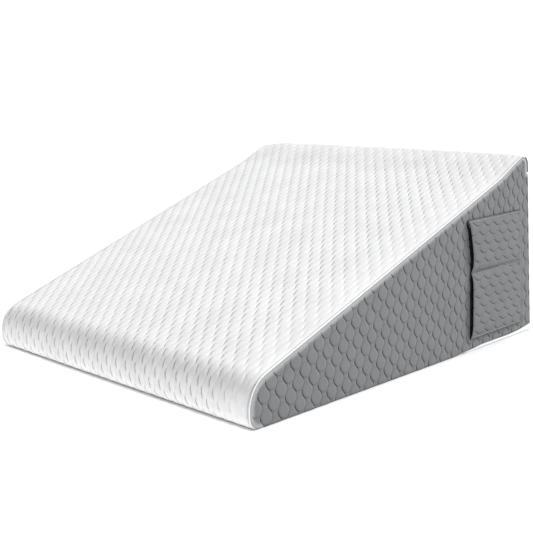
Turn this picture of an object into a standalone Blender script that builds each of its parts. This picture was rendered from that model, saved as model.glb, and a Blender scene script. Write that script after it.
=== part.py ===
"""Bed wedge pillow with a rounded nose, a white knit top and grey side panels.

X runs across the pillow, Y from the nose (-Y) to the high back (+Y), Z up.
Sizes are in metres. Lengths along the side are measured from the line where
the nose meets the floor, and ORIGIN_SHIFT moves the whole pillow so that the
origin lies under the middle of its box.
"""
import math

import bmesh
import bpy
from mathutils import Vector
from mathutils.geometry import delaunay_2d_cdt

MM = 0.001

# Overall sizes
WIDTH = 607.0 * MM
BACK_FOOT = 653.0 * MM
BACK_LEAN = 0.056
SLOPE_START_HEIGHT = 64.7 * MM
SLOPE = 0.3717
NOSE_FRONT = -13.7 * MM
NOSE_LOW_RADIUS = 20.0 * MM
NOSE_LOW_HEIGHT = 19.1 * MM
NOSE_LOW_DROP = 0.58
NOSE_TOP_RADIUS = 48.0 * MM
HIGH_EDGE_RADIUS = 16.0 * MM

# The cloth stands proud over the high edge, from LIFT_FROM to LIFT_TO
HIGH_EDGE_LIFT = 6.5 * MM
LIFT_FROM = 540.0 * MM
LIFT_TO = 620.0 * MM

# The left high corner is softer than the right one
LEFT_CORNER_DROP = 6.0 * MM
CORNER_DROP_FROM = 575.0 * MM
CORNER_DROP_TO = 625.0 * MM
CORNER_DROP_WIDTH = 55.0 * MM

# Filling and top cloth
TOP_CROWN = 4.0 * MM
EDGE_ROLL_WIDTH = 12.0 * MM
EDGE_ROLL_DROP = 3.0 * MM
COVER_TUCK = 14.0 * MM
BACK_SEAM_HEIGHT = 272.0 * MM
FOOT_RADIUS = 6.0 * MM

# Pieces stay this far apart
GAP = 0.3 * MM

# Straight steps along the slope, on the filled body and on its sewn edges
BODY_STEPS = 14
EDGE_STEPS = 20

# Grey panels
PANEL_THICK = 3.0 * MM
PANEL_EDGE_THICK = 1.5 * MM
PANEL_MARGIN = 5.0 * MM
PANEL_MARGIN_THICK = 2.5 * MM
MARGIN_SPACING = 14.0 * MM
PANEL_INSET = 3.1 * MM
PANEL_BACK_INSET = 1.0 * MM
GROOVE_THICK = 1.9 * MM

# The relief is a half-drop lattice of long hexagonal cells
CELL_COLUMN = 15.3 * MM
CELL_PERIOD = 28.8 * MM
CELL_NECK_HALF = 4.6 * MM
CELL_LEAN = -0.09
RELIEF_CLEAR = 7.2 * MM

# Bottom cloth
BOTTOM_THICK = 1.8 * MM
BOTTOM_BEND_RADIUS = 3.0 * MM
BOTTOM_SIDE_INSET = 0.6 * MM
BOTTOM_CORNER = 4.0 * MM

# Height of the seam between side panel and bottom cloth: along, height
BOTTOM_SEAM = (
    (12.0 * MM, 0.1 * MM),
    (425.0 * MM, 0.1 * MM),
    (448.0 * MM, 2.1 * MM),
    (475.0 * MM, 2.4 * MM),
    (505.0 * MM, 5.0 * MM),
    (585.0 * MM, 5.0 * MM),
    (620.0 * MM, 7.0 * MM),
    (651.0 * MM, 11.5 * MM),
)

# The bottom cloth's side edge comes out from under the side panel here
EDGE_OUT_FROM = 452.0 * MM
EDGE_OUT_TO = 475.0 * MM

# White seam roll between top and side
ROLL_RADIUS = 1.2 * MM
ROLL_INSET = 1.6 * MM
ROLL_BEVEL_RESOLUTION = 2

# Double patch pocket on the right side panel
POCKET_THICK = 2.0 * MM
POCKET_STAND_OFF = 5.2 * MM
POCKET_FLATNESS = 6
POCKET_BOTTOM = 20.5 * MM
POCKET_MIDDLE = 128.5 * MM
POCKET_TOP = 213.0 * MM
POCKET_REAR_LOW = 620.0 * MM
POCKET_REAR_HIGH = 611.0 * MM
POCKET_MOUTH = 469.5 * MM
POCKET_MOUTH_TOP = 460.5 * MM
POCKET_MOUTH_BEND = 148.0 * MM

# Middle of the whole box: the pocket stands out at +X, the crown at the nose
POCKET_OUT = GAP + POCKET_STAND_OFF + POCKET_THICK
NOSE_OUT = NOSE_FRONT - TOP_CROWN / 2
REAR_EDGE = BACK_FOOT - 0.8 * MM
ORIGIN_SHIFT = Vector((-POCKET_OUT / 2, -(REAR_EDGE + NOSE_OUT) / 2, 0.0))

WHITE_KNIT = (0.84, 0.84, 0.85)
WHITE_SEAM = (0.90, 0.90, 0.90)
WHITE_BOTTOM = (0.80, 0.80, 0.81)
GREY_KNIT = (0.23, 0.235, 0.24)
GREY_POCKET = (0.22, 0.225, 0.23)
CLOTH_ROUGHNESS = 0.9


def clear_scene():
    for old in list(bpy.data.objects):
        bpy.data.objects.remove(old, do_unlink=True)


def make_collection(name):
    collection = bpy.data.collections.new(name)
    bpy.context.scene.collection.children.link(collection)
    return collection


def cloth_material(name, colour):
    material = bpy.data.materials.new(name)
    material.use_nodes = True
    shader = material.node_tree.nodes["Principled BSDF"]
    shader.inputs["Base Color"].default_value = (*colour, 1.0)
    shader.inputs["Roughness"].default_value = CLOTH_ROUGHNESS
    shader.inputs["Metallic"].default_value = 0.0
    return material


def mesh_object(name, bm, material, collection):
    """Turn a bmesh into a smooth shaded object with one material."""
    bmesh.ops.recalc_face_normals(bm, faces=bm.faces)
    mesh = bpy.data.meshes.new(name)
    bm.to_mesh(mesh)
    bm.free()
    mesh.shade_smooth()
    mesh.set_sharp_from_angle(angle=math.radians(40.0))
    mesh.materials.append(material)
    piece = bpy.data.objects.new(name, mesh)
    piece.location = ORIGIN_SHIFT
    collection.objects.link(piece)
    return piece


def smooth_step(value, low, high):
    t = min(max((value - low) / (high - low), 0.0), 1.0)
    return t * t * (3.0 - 2.0 * t)


def table_value(table, along):
    """Read a two-column table at a length along the side."""
    if along <= table[0][0]:
        return table[0][1]
    for (a0, v0), (a1, v1) in zip(table, table[1:]):
        if along <= a1:
            return v0 + (v1 - v0) * (along - a0) / (a1 - a0)
    return table[-1][1]


def arc(centre, radius, start, end, steps):
    """Points on an arc in the side plane, angles in degrees from +Y."""
    points = []
    for i in range(steps + 1):
        angle = math.radians(start + (end - start) * i / steps)
        points.append((centre[0] + radius * math.cos(angle),
                       centre[1] + radius * math.sin(angle)))
    return points


SLOPE_ANGLE = math.atan(SLOPE)
LEAN_ANGLE = math.atan(BACK_LEAN)


def slope_height(along):
    """Height of the straight slope with the lift towards the high edge."""
    lift = HIGH_EDGE_LIFT * smooth_step(along, LIFT_FROM, LIFT_TO)
    return SLOPE_START_HEIGHT + SLOPE * along + lift


def back_line(height):
    return BACK_FOOT - BACK_LEAN * height


def nose_top_centre():
    along = NOSE_FRONT + NOSE_TOP_RADIUS
    drop = NOSE_TOP_RADIUS / math.cos(SLOPE_ANGLE)
    return along, SLOPE_START_HEIGHT + SLOPE * along - drop


def high_edge_centre():
    """Centre of the arc that touches the lifted slope and the back line."""
    slope_at_zero = (SLOPE_START_HEIGHT + HIGH_EDGE_LIFT
                     - HIGH_EDGE_RADIUS / math.cos(SLOPE_ANGLE))
    back_at_zero = BACK_FOOT - HIGH_EDGE_RADIUS / math.cos(LEAN_ANGLE)
    along = (back_at_zero - BACK_LEAN * slope_at_zero) / (1.0 + BACK_LEAN * SLOPE)
    return along, slope_at_zero + SLOPE * along


def nose_low_arc(inset, crown, steps):
    """Lower front of the nose, flattened where it meets the floor."""
    height = NOSE_LOW_HEIGHT - NOSE_LOW_DROP * inset
    radius = NOSE_LOW_RADIUS - inset
    centre = (NOSE_FRONT + NOSE_LOW_RADIUS, height)
    floor = 180.0 + math.degrees(math.asin(min(1.0, height / radius)))
    lower = arc(centre, radius, floor, 220.0, steps)
    return lower + arc(centre, radius + 0.5 * crown, 200.0, 180.0, 1)


def soften_corner(point, drop):
    """Press the cloth of a high corner down by as much as drop."""
    y, z = point
    above = min(max((z - BACK_SEAM_HEIGHT) / HIGH_EDGE_RADIUS, 0.0), 1.0)
    return y, z - drop * above * smooth_step(y, CORNER_DROP_FROM, CORNER_DROP_TO)


def cover_path(inset, crown, slope_steps, drop=0.0):
    """Side outline of the top cloth, from the nose's foot to the back seam.

    inset draws the whole path in, crown swells the slope and half as much
    the nose, and drop softens the high corner.
    """
    slope_degrees = math.degrees(SLOPE_ANGLE)
    top_centre = nose_top_centre()
    high_centre = high_edge_centre()
    path = nose_low_arc(inset, crown, 4)
    path += arc(top_centre, NOSE_TOP_RADIUS + 0.5 * crown - inset,
                180.0, 90.0 + slope_degrees, 6)
    normal = (-math.sin(SLOPE_ANGLE), math.cos(SLOPE_ANGLE))
    start = top_centre[0] + normal[0] * NOSE_TOP_RADIUS
    end = high_centre[0] + normal[0] * HIGH_EDGE_RADIUS
    for i in range(1, slope_steps):
        along = start + (end - start) * i / slope_steps
        swell = crown * (0.5 + 0.5 * smooth_step(i / slope_steps, 0.0, 0.15)) - inset
        path.append((along + normal[0] * swell, slope_height(along) + normal[1] * swell))
    path += arc(high_centre, HIGH_EDGE_RADIUS + crown - inset,
                90.0 + slope_degrees, 30.0, 4)
    path += arc(high_centre, HIGH_EDGE_RADIUS - inset, 0.0,
                -math.degrees(LEAN_ANGLE), 1)
    path.append((back_line(BACK_SEAM_HEIGHT) - inset, BACK_SEAM_HEIGHT))
    return [soften_corner(point, drop) for point in path]


def cushion_section(inset, crown, drop):
    """Closed section of the filled body at one place across the width."""
    section = cover_path(inset, crown, BODY_STEPS, drop)
    panel_room = PANEL_THICK + GAP
    bottom = BOTTOM_THICK + GAP + 0.2 * MM
    ledge = BACK_SEAM_HEIGHT
    section.append((back_line(ledge) - panel_room, ledge))
    foot_centre = (back_line(0.0) - panel_room - 1.5 * MM - FOOT_RADIUS,
                   bottom + FOOT_RADIUS)
    section += arc(foot_centre, FOOT_RADIUS, 0.0, -90.0, 3)
    section.append((COVER_TUCK, bottom))
    section.append((COVER_TUCK - GAP, section[0][1]))
    return section


def bridge_loops(bm, loops):
    """Join equal loops of points with quads and close both ends."""
    rings = [[bm.verts.new(point) for point in loop] for loop in loops]
    count = len(rings[0])
    for first, second in zip(rings, rings[1:]):
        for i in range(count):
            j = (i + 1) % count
            bm.faces.new((first[i], first[j], second[j], second[i]))
    bm.faces.new(rings[0])
    bm.faces.new(list(reversed(rings[-1])))


def cushion_stations():
    """Places across the half width, each with its inset and its crown."""
    half = WIDTH / 2 - PANEL_THICK - GAP
    stations = []
    for share in (0.0, 0.25, 0.5, 0.72, 0.88):
        crown = TOP_CROWN * (1.0 - share ** 2)
        stations.append((share * half, 0.0, crown))
    rest_crown = crown
    for degrees in (0.0, 35.0, 60.0, 78.0, 90.0):
        angle = math.radians(degrees)
        place = half - EDGE_ROLL_WIDTH * (1.0 - math.sin(angle))
        drop = EDGE_ROLL_DROP * (1.0 - math.cos(angle))
        stations.append((place, drop, rest_crown * math.cos(angle)))
    return stations


def build_cushion(collection):
    right = cushion_stations()
    left = [(-place, inset, crown) for place, inset, crown in reversed(right[1:])]
    loops = []
    for place, inset, crown in left + right:
        drop = LEFT_CORNER_DROP * smooth_step(-place, WIDTH / 2 - CORNER_DROP_WIDTH,
                                              WIDTH / 2)
        section = cushion_section(inset, crown, drop)
        loops.append([(place, y, z) for y, z in section])
    bm = bmesh.new()
    bridge_loops(bm, loops)
    material = cloth_material("white_knit", WHITE_KNIT)
    return mesh_object("cushion", bm, material, collection)


def seam_height(along):
    return table_value(BOTTOM_SEAM, along)


def side_panel_outline(drop):
    """Outline of a grey side panel in the side plane, front foot first."""
    outline = cover_path(PANEL_INSET, 0.0, EDGE_STEPS, drop)
    rear = PANEL_BACK_INSET
    below_roll = BACK_SEAM_HEIGHT - 2.0 * MM
    for height in (below_roll, 230.0 * MM, 180.0 * MM, 130.0 * MM, 70.0 * MM, 25.0 * MM):
        outline.append((back_line(height) - rear, height))
    foot = BACK_FOOT - rear - 1.0 * MM
    outline.append((foot, seam_height(foot) + GAP))
    for along, height in reversed(BOTTOM_SEAM[:-1]):
        outline.append((along, height + GAP))
    return outline


def inside(point, outline):
    crossing = False
    y, z = point
    for (y0, z0), (y1, z1) in zip(outline, outline[1:] + outline[:1]):
        if (z0 > z) != (z1 > z) and y < y0 + (y1 - y0) * (z - z0) / (z1 - z0):
            crossing = not crossing
    return crossing


def distance_to_outline(point, outline):
    here = Vector(point)
    best = 1.0
    for start, end in zip(outline, outline[1:] + outline[:1]):
        first = Vector(start)
        run = Vector(end) - first
        share = min(max((here - first).dot(run) / run.length_squared, 0.0), 1.0)
        best = min(best, (here - first - run * share).length)
    return best


def inset_loop(outline, distance, spacing):
    """Evenly spaced points a set distance inside an outline."""
    loop = []
    for start, end in zip(outline, outline[1:] + outline[:1]):
        first = Vector(start)
        run = Vector(end) - first
        inward = Vector((run.y, -run.x)).normalized() * distance
        steps = max(1, round(run.length / spacing))
        for i in range(steps):
            point = first + run * (i + 0.5) / steps + inward
            clear = distance_to_outline(point, outline) > 0.93 * distance
            apart = all((point - other).length > 0.35 * spacing for other in loop)
            if clear and apart and inside(point, outline):
                loop.append(point)
    return [tuple(point) for point in loop]


def relief_points(outline):
    """Cell centres and groove corners of the half-drop lattice."""
    centres = []
    corners = []
    columns = int(BACK_FOOT / CELL_COLUMN) + 4
    rows = int(BACK_FOOT / CELL_PERIOD) + 2
    reach = CELL_COLUMN - CELL_NECK_HALF
    for i in range(-1, columns):
        for j in range(-1, rows):
            middle = (i * CELL_COLUMN, (j + 0.5 * (i % 2)) * CELL_PERIOD)
            for found, offset in ((centres, (0.0, 0.0)),
                                  (corners, (reach, 0.0)),
                                  (corners, (CELL_NECK_HALF, CELL_PERIOD / 2))):
                height = middle[1] + offset[1]
                along = middle[0] + offset[0] + CELL_LEAN * height
                if not inside((along, height), outline):
                    continue
                if distance_to_outline((along, height), outline) > RELIEF_CLEAR:
                    found.append((along, height))
    return centres, corners


def panel_mesh(outline, place):
    """Sheet with a flat inner face and a raised outer face.

    place turns a point of the side plane and a height over the inner face
    into a point of the pillow.
    """
    margin = inset_loop(outline, PANEL_MARGIN, MARGIN_SPACING)
    centres, corners = relief_points(outline)
    thick = ([PANEL_EDGE_THICK] * len(outline) + [PANEL_MARGIN_THICK] * len(margin)
             + [PANEL_THICK] * len(centres) + [GROOVE_THICK] * len(corners))
    flat = [Vector(point) for point in outline + margin + centres + corners]
    rim = [(i, (i + 1) % len(outline)) for i in range(len(outline))]
    points, _, faces, source, _, _ = delaunay_2d_cdt(flat, rim, [], 1, 0.00001)
    bm = bmesh.new()
    outer = []
    for point, origin in zip(points, source):
        outer.append(bm.verts.new(place(point[0], point[1], thick[origin[0]])))
    for face in faces:
        bm.faces.new([outer[i] for i in face])
    where = {origin[0]: vert for vert, origin in zip(outer, source)}
    inner = [bm.verts.new(place(y, z, 0.0)) for y, z in outline]
    for i, j in rim:
        bm.faces.new((where[i], where[j], inner[j], inner[i]))
    bm.faces.new(inner)
    return bm


def build_side_panel(name, side, material, collection):
    base = WIDTH / 2 - PANEL_THICK

    def place(y, z, height):
        return side * (base + height), y, z

    drop = LEFT_CORNER_DROP if side < 0.0 else 0.0
    bm = panel_mesh(side_panel_outline(drop), place)
    return mesh_object(name, bm, material, collection)


def build_back_panel(material, collection):
    """Plain grey sheet on the high end, its face drawn in at the rim."""
    half = WIDTH / 2 - PANEL_THICK - GAP
    low = BOTTOM_SEAM[-1][1] + GAP
    high = BACK_SEAM_HEIGHT - GAP
    rows = []
    for share, thick in ((0.0, PANEL_EDGE_THICK), (0.03, PANEL_MARGIN_THICK),
                         (0.3, PANEL_THICK), (0.7, PANEL_THICK),
                         (0.97, PANEL_MARGIN_THICK), (1.0, PANEL_EDGE_THICK)):
        rows.append((low + (high - low) * share, thick))
    columns = []
    for share, thick in ((0.0, PANEL_EDGE_THICK), (0.015, PANEL_MARGIN_THICK),
                         (0.1, PANEL_THICK), (0.5, PANEL_THICK), (0.9, PANEL_THICK),
                         (0.985, PANEL_MARGIN_THICK), (1.0, PANEL_EDGE_THICK)):
        columns.append((-half + 2 * half * share, thick))
    loops = []
    for x, x_thick in columns:
        face = [(x, back_line(z) - PANEL_THICK + min(x_thick, z_thick), z)
                for z, z_thick in rows]
        wall = [(x, back_line(z) - PANEL_THICK, z) for z, _ in reversed(rows)]
        loops.append(face + wall)
    bm = bmesh.new()
    bridge_loops(bm, loops)
    return mesh_object("back_panel", bm, material, collection)


def bottom_rim():
    """Places round the bottom cloth: across, along, outward way, lip height.

    The side edges come out from under the side panels towards the rear,
    where they turn up like the rear edge.
    """
    under_panel = WIDTH / 2 - PANEL_THICK - GAP
    out_edge = WIDTH / 2 - BOTTOM_SIDE_INSET
    lip = BOTTOM_SEAM[-1][1]
    side = []
    for along in (COVER_TUCK + GAP + 0.5 * MM, 160.0 * MM, 310.0 * MM, EDGE_OUT_FROM,
                  EDGE_OUT_FROM + 12.0 * MM, EDGE_OUT_TO, 500.0 * MM, 545.0 * MM,
                  585.0 * MM, 605.0 * MM, 620.0 * MM, 634.0 * MM):
        out = smooth_step(along, EDGE_OUT_FROM, EDGE_OUT_TO)
        across = under_panel + (out_edge - under_panel) * out
        height = max(BOTTOM_THICK, seam_height(along))
        side.append((across, along, (1.0, 0.0), height))
    corner = []
    middle = (out_edge - BOTTOM_CORNER, REAR_EDGE - BOTTOM_CORNER)
    for degrees in (0.0, 30.0, 60.0, 90.0):
        way = (math.cos(math.radians(degrees)), math.sin(math.radians(degrees)))
        along = middle[1] + BOTTOM_CORNER * way[1]
        corner.append((middle[0] + BOTTOM_CORNER * way[0], along, way,
                       seam_height(along)))
    right = side + corner
    rear_rim = [(share * WIDTH, REAR_EDGE, (0.0, 1.0), lip)
                for share in (0.25, 0.0, -0.25)]
    left = [(-x, y, (-way[0], way[1]), height) for x, y, way, height in reversed(right)]
    front = COVER_TUCK + GAP
    front_rim = [(share * WIDTH, front, (0.0, -1.0), BOTTOM_THICK)
                 for share in (-0.49, -0.25, 0.0, 0.25, 0.49)]
    return right + rear_rim + left + front_rim


def lip_profile(height):
    """Turned up edge as inward offset and height, outside first."""
    bend = min(BOTTOM_BEND_RADIUS, 0.45 * height)
    inner = max(bend - BOTTOM_THICK, 0.3 * MM)
    rise = 1.0 - math.cos(math.radians(45.0))
    profile = [(bend, 0.0), (bend * rise, bend * rise), (0.0, bend), (0.0, height),
               (BOTTOM_THICK, height)]
    for offset, level in ((0.0, inner), (rise * inner, rise * inner), (inner, 0.0)):
        profile.append((BOTTOM_THICK + offset + 0.05 * MM,
                        min(height, BOTTOM_THICK + level)))
    return profile


def build_bottom_panel(collection):
    """White cloth under the pillow, turned up at the rear and the rear sides."""
    rim = bottom_rim()
    profiles = [lip_profile(height) for _, _, _, height in rim]
    loops = []
    for step in range(len(profiles[0])):
        loop = []
        for (x, y, way, _), profile in zip(rim, profiles):
            offset, z = profile[step]
            loop.append((x - offset * way[0], y - offset * way[1], z))
        loops.append(loop)
    bm = bmesh.new()
    bridge_loops(bm, loops)
    material = cloth_material("white_bottom", WHITE_BOTTOM)
    return mesh_object("bottom_panel", bm, material, collection)


def roll_thickness(point):
    """Share of the full roll: it thins where it runs in under the nose."""
    centre = (NOSE_FRONT + NOSE_LOW_RADIUS, NOSE_LOW_HEIGHT - NOSE_LOW_DROP * PANEL_INSET)
    if point[1] > centre[1]:
        return 1.0
    reach = math.hypot(point[0] - centre[0], point[1] - centre[1])
    clear = reach - (NOSE_LOW_RADIUS - PANEL_INSET) - GAP
    return min(1.0, clear / ROLL_RADIUS)


def build_seam_roll(name, side, material, collection):
    """Bright roll of cover cloth along the edge between top and side."""
    drop = LEFT_CORNER_DROP if side < 0.0 else 0.0
    path = cover_path(ROLL_INSET, 0.0, EDGE_STEPS, drop)
    path = [point for point in path if point[1] > ROLL_RADIUS + GAP]
    path[-1] = (path[-1][0], BACK_SEAM_HEIGHT + ROLL_RADIUS)
    curve = bpy.data.curves.new(name, "CURVE")
    curve.dimensions = "3D"
    spline = curve.splines.new("POLY")
    spline.points.add(len(path) - 1)
    for point, (y, z) in zip(spline.points, path):
        point.co = (side * (WIDTH / 2 - ROLL_INSET), y, z, 1.0)
        point.radius = roll_thickness((y, z))
    curve.bevel_depth = ROLL_RADIUS
    curve.bevel_resolution = ROLL_BEVEL_RESOLUTION
    curve.use_fill_caps = True
    curve.materials.append(material)
    piece = bpy.data.objects.new(name, curve)
    piece.location = ORIGIN_SHIFT
    collection.objects.link(piece)
    return piece


def pocket_mouth(height):
    """The mouth edge runs straight, then is pulled forward towards the top."""
    pull = smooth_step(height, POCKET_MOUTH_BEND, POCKET_TOP)
    return POCKET_MOUTH + (POCKET_MOUTH_TOP - POCKET_MOUTH) * pull


def pocket_rear(height):
    share = (height - POCKET_BOTTOM) / (POCKET_TOP - POCKET_BOTTOM)
    return POCKET_REAR_LOW + (POCKET_REAR_HIGH - POCKET_REAR_LOW) * share


def pocket_rise(along_share, chamber_share):
    """Height of the cloth over the panel inside one of the two pockets."""
    across = abs(2.0 * chamber_share - 1.0)
    seam_pull = 1.0 - across ** POCKET_FLATNESS
    return POCKET_STAND_OFF * seam_pull * (1.0 - along_share ** 2.2)


def build_pocket(collection):
    """Two pockets, one over the other, in one cloth sewn down all round."""
    base = WIDTH / 2 + GAP
    shares = (0.0, 0.12, 0.27, 0.43, 0.6, 0.77, 0.9, 1.0)
    levels = []
    for low, high in ((POCKET_BOTTOM, POCKET_MIDDLE), (POCKET_MIDDLE, POCKET_TOP)):
        for share in (0.0, 0.03, 0.09, 0.2, 0.5, 0.8, 0.91, 0.97):
            levels.append((low + (high - low) * share, share))
    levels.append((POCKET_TOP, 1.0))
    loops = []
    for height, chamber_share in levels:
        mouth = pocket_mouth(height)
        inner = []
        outer = []
        for share in shares:
            along = mouth + (pocket_rear(height) - mouth) * share
            rise = pocket_rise(share, chamber_share)
            inner.append((base + rise, along, height))
            outer.append((base + rise + POCKET_THICK, along, height))
        loops.append(inner + list(reversed(outer)))
    bm = bmesh.new()
    bridge_loops(bm, loops)
    material = cloth_material("grey_pocket", GREY_POCKET)
    return mesh_object("pocket", bm, material, collection)


def build():
    clear_scene()
    collection = make_collection("contour_pillow")
    grey = cloth_material("grey_knit", GREY_KNIT)
    seam = cloth_material("white_seam", WHITE_SEAM)
    build_cushion(collection)
    build_bottom_panel(collection)
    build_side_panel("side_panel_right", 1.0, grey, collection)
    build_side_panel("side_panel_left", -1.0, grey, collection)
    build_back_panel(grey, collection)
    build_pocket(collection)
    build_seam_roll("top_seam_right", 1.0, seam, collection)
    build_seam_roll("top_seam_left", -1.0, seam, collection)


build()
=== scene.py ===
"""Dresses the bed wedge pillow: knit cloths with their relief, seams and light.

X runs across the pillow, Y from the nose (-Y) to the high back (+Y), Z up.
Sizes are in metres. Lengths along the side are measured from the line where
the nose meets the floor, as in the solids, and SHIFT takes them to the frame.
"""

import math
from collections import namedtuple

import bmesh
import bpy
import numpy as np
from mathutils import Matrix, Vector
from mathutils.geometry import delaunay_2d_cdt


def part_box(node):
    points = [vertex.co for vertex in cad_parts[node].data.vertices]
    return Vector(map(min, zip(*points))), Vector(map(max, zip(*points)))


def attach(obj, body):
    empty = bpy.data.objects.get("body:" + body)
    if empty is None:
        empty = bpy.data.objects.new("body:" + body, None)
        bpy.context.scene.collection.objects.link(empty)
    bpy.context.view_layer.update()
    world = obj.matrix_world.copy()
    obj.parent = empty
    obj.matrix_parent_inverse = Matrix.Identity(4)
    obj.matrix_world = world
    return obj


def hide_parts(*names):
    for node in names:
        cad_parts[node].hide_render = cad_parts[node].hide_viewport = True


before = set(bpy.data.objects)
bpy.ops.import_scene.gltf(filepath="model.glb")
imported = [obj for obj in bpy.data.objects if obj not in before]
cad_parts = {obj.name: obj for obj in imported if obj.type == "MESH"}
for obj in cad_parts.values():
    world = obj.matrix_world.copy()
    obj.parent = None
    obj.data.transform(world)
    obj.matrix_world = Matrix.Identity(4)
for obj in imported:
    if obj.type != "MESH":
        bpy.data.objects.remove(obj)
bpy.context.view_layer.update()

MM = 0.001
BODY = "root"

# Overall sizes of the pillow
WIDTH = 607.0 * MM
BACK_FOOT = 653.0 * MM
BACK_LEAN = 0.056
SLOPE_START_HEIGHT = 64.7 * MM
SLOPE = 0.3717
NOSE_FRONT = -13.7 * MM
NOSE_LOW_RADIUS = 20.0 * MM
NOSE_LOW_HEIGHT = 19.1 * MM
NOSE_LOW_DROP = 0.58
NOSE_TOP_RADIUS = 48.0 * MM
HIGH_EDGE_RADIUS = 16.0 * MM
HIGH_EDGE_LIFT = 8.0 * MM
LIFT_FROM = 540.0 * MM
LIFT_TO = 620.0 * MM

# The left high corner is softer than the right one
LEFT_CORNER_DROP = 3.5 * MM
CORNER_DROP_FROM = 575.0 * MM
CORNER_DROP_TO = 625.0 * MM
CORNER_DROP_WIDTH = 55.0 * MM

# Top cloth and filling
TOP_CROWN = 4.0 * MM
EDGE_ROLL_WIDTH = 12.0 * MM
EDGE_ROLL_DROP = 3.0 * MM
COVER_TUCK = 14.0 * MM
BACK_SEAM_HEIGHT = 272.0 * MM
FOOT_RADIUS = 6.0 * MM
COVER_RIM_STEP = 2.6 * MM

# Pieces stay this far apart
GAP = 0.3 * MM

# Grey panels
PANEL_THICK = 3.0 * MM
PANEL_INSET = 3.1 * MM
PANEL_BACK_INSET = 0.0 * MM
PANEL_GROUND = 1.95 * MM
PANEL_RIM = 1.2 * MM
PANEL_ROUNDING = 8.0 * MM
PANEL_FOOT_ROUNDING = 2.5 * MM

# Bottom cloth and the height of its seam with the side panels: along, height
BOTTOM_THICK = 1.8 * MM
BOTTOM_BEND_RADIUS = 3.0 * MM
BOTTOM_SIDE_INSET = 0.6 * MM
BOTTOM_CORNER = 4.0 * MM
BOTTOM_SEAM = (
    (12.0 * MM, 0.1 * MM),
    (425.0 * MM, 0.1 * MM),
    (448.0 * MM, 2.1 * MM),
    (475.0 * MM, 2.4 * MM),
    (505.0 * MM, 5.0 * MM),
    (585.0 * MM, 5.0 * MM),
    (620.0 * MM, 7.0 * MM),
    (651.0 * MM, 11.5 * MM),
)
EDGE_OUT_FROM = 452.0 * MM
EDGE_OUT_TO = 475.0 * MM

# White seam roll between top and side
ROLL_RADIUS = 1.1 * MM
ROLL_INSET = 1.6 * MM
ROLL_STEP = 2.0 * MM
ROLL_SIDES = 10

# Double patch pocket on the right side panel
POCKET_THICK = 2.0 * MM
POCKET_STAND_OFF = 5.2 * MM
POCKET_SLACK = 1.0
POCKET_FLATNESS = 6
POCKET_BOTTOM = 20.5 * MM
POCKET_MIDDLE = 128.5 * MM
POCKET_TOP = 213.0 * MM
POCKET_REAR_LOW = 620.0 * MM
POCKET_REAR_HIGH = 611.0 * MM
POCKET_MOUTH = 469.5 * MM
POCKET_MOUTH_TOP = 460.5 * MM
POCKET_MOUTH_BEND = 148.0 * MM
POCKET_GROUND = 1.1 * MM
HEM_WIDTH = 4.0 * MM
HEM_RAISE = 0.5 * MM

# Sewing
STITCH_LENGTH = 2.8 * MM
STITCH_PITCH = 4.0 * MM
STITCH_RADIUS = 0.45 * MM
SEAM_IN_FROM_EDGE = 3.0 * MM
TACK_RADIUS = 0.9 * MM

# Light: directions towards the lamps, strengths, and softness in degrees
KEY_WAY = (0.35, 0.6, 0.72)
KEY_STRENGTH = 3.6
KEY_SOFTNESS = 18.0
FLOOR_WAY = (0.15, -0.15, 1.0)
FLOOR_STRENGTH = 3.1
FLOOR_SOFTNESS = 50.0
HORIZON_LIGHT = 1.17
ZENITH_LIGHT = 0.4

# Camera, found from the photograph's edges
LENS_IN_WIDTHS = 994.3 / 533.0
SENSOR_WIDTH = 36.0
SHIFT_DOWN = 50.3 / 533.0
CAMERA_PLACE = (1178.2 * MM, -829.2 * MM, 449.5 * MM)
CAMERA_YAW = math.radians(45.705)
CAMERA_PITCH = math.radians(8.312)
CAMERA_ROLL = math.radians(1.265)

SLOPE_ANGLE = math.atan(SLOPE)
LEAN_ANGLE = math.atan(BACK_LEAN)
HALF = WIDTH / 2 - PANEL_THICK - GAP
REAR_EDGE = BACK_FOOT - 0.8 * MM
NOSE_OUT = NOSE_FRONT - TOP_CROWN / 2

pillow = bpy.data.collections.new("pillow")
studio = bpy.data.collections.new("studio")
for collection in (pillow, studio):
    bpy.context.scene.collection.children.link(collection)

cushion_low, cushion_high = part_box("cushion")
SHIFT = Vector(((cushion_low.x + cushion_high.x) / 2, cushion_low.y - NOSE_OUT, 0.0))

# A knit relief: columns of puffed cells between wavy grooves. Columns are
# spacing apart, each second one starts half a period on, and the grooves
# swing to both sides. Cells are round and reach bead along their column;
# between them the column is lower, by the share neck. dome is the height of a
# cell, shoulder the width over which it rises and groove the depth of the
# pulled-in line beside it.
Relief = namedtuple("Relief", "spacing period swing bead dome neck shoulder groove")

SIDE_RELIEF = Relief(15.3 * MM, 28.8 * MM, 2.9 * MM, 10.6 * MM, 0.7 * MM, 0.6,
                     4.5 * MM, 0.45 * MM)
POCKET_RELIEF = Relief(14.5 * MM, 27.5 * MM, 2.6 * MM, 10.0 * MM, 0.7 * MM, 0.65,
                       4.5 * MM, 0.4 * MM)
TOP_RELIEF = Relief(11.63 * MM, 29.4 * MM, 1.7 * MM, 10.5 * MM, 0.8 * MM, 0.4,
                    4.5 * MM, 0.4 * MM)
WAVE_ROUNDING = 0.04
# Phase along a groove where it is cut deepest and its painted shade is darkest, on the slanting
# parts that turn from the key light
STRONG_TURN = -0.55

# How a relief lies on its piece. A place across and along the piece becomes
# a place on the flat cloth by a shift, a stretch, a lean and their slow
# changes from end to end.
Lay = namedtuple("Lay", "shift across along twist bend curl")

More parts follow.
